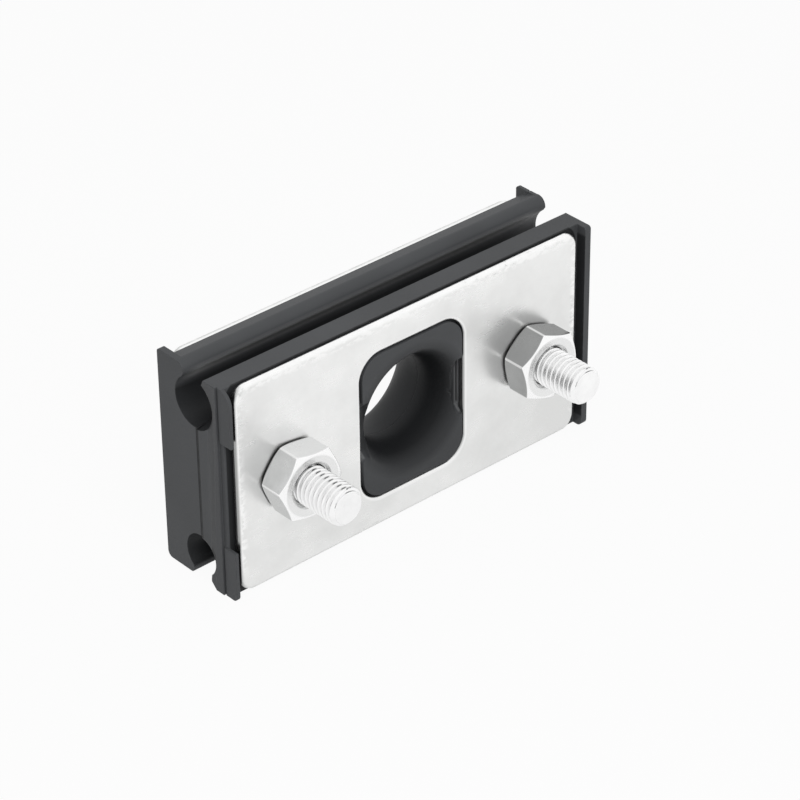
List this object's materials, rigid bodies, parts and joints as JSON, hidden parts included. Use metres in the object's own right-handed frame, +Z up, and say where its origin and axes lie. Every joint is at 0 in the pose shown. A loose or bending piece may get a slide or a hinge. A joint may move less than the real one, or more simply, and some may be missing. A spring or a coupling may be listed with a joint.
{
  "type": "conductor suspension clamp",
  "caption": "Suspension clamp for overhead conductors: moulded jaws with grooves above and below a trumpet hook bore, pressed together between steel plates by bolts and nuts.",
  "frame": {"origin": "centre of the hook bore, on the middle plane between the two plates", "axes": "+X along the conductors, +Y through the clamp from the nuts to the bolt heads, along the hook bore, +Z up"},
  "size_m": [0.1152, 0.05, 0.0593],
  "materials": {
    "jaw_plastic": "dark charcoal moulded weatherproof plastic, matte",
    "plate_steel": "zinc plated steel sheet, satin, with bright edges",
    "bolt_steel": "bright zinc plated steel",
    "nut_steel": "bright zinc plated steel"
  },
  "bodies": {
    "rear_half": {"rear_jaw": "jaw_plastic", "rear_plate": "plate_steel", "left_bolt": "bolt_steel", "right_bolt": "bolt_steel"},
    "front_half": {"front_jaw": "jaw_plastic", "front_plate": "plate_steel"},
    "left_nut": {"left_nut": "nut_steel"},
    "right_nut": {"right_nut": "nut_steel"}
  },
  "joints": [
    {"name": "jaw_slide", "type": "slide", "parent": "rear_half", "child": "front_half", "axis": [0, -1, 0], "range_m": [0, 0.012]},
    {"name": "left_nut_turn", "type": "hinge", "parent": "front_half", "child": "left_nut", "pos_m": [-0.0385, -0.0162, -0.0007], "axis": [0, -1, 0], "range_deg": [0, 2880]},
    {"name": "right_nut_turn", "type": "hinge", "parent": "front_half", "child": "right_nut", "pos_m": [0.0385, -0.0162, -0.0007], "axis": [0, -1, 0], "range_deg": [0, 2880]}
  ],
  "couplings": [
    {"joint": "left_nut_turn", "follows": "jaw_slide", "rad_per_m": 4188.8},
    {"joint": "right_nut_turn", "follows": "jaw_slide", "rad_per_m": 4188.8}
  ]
}
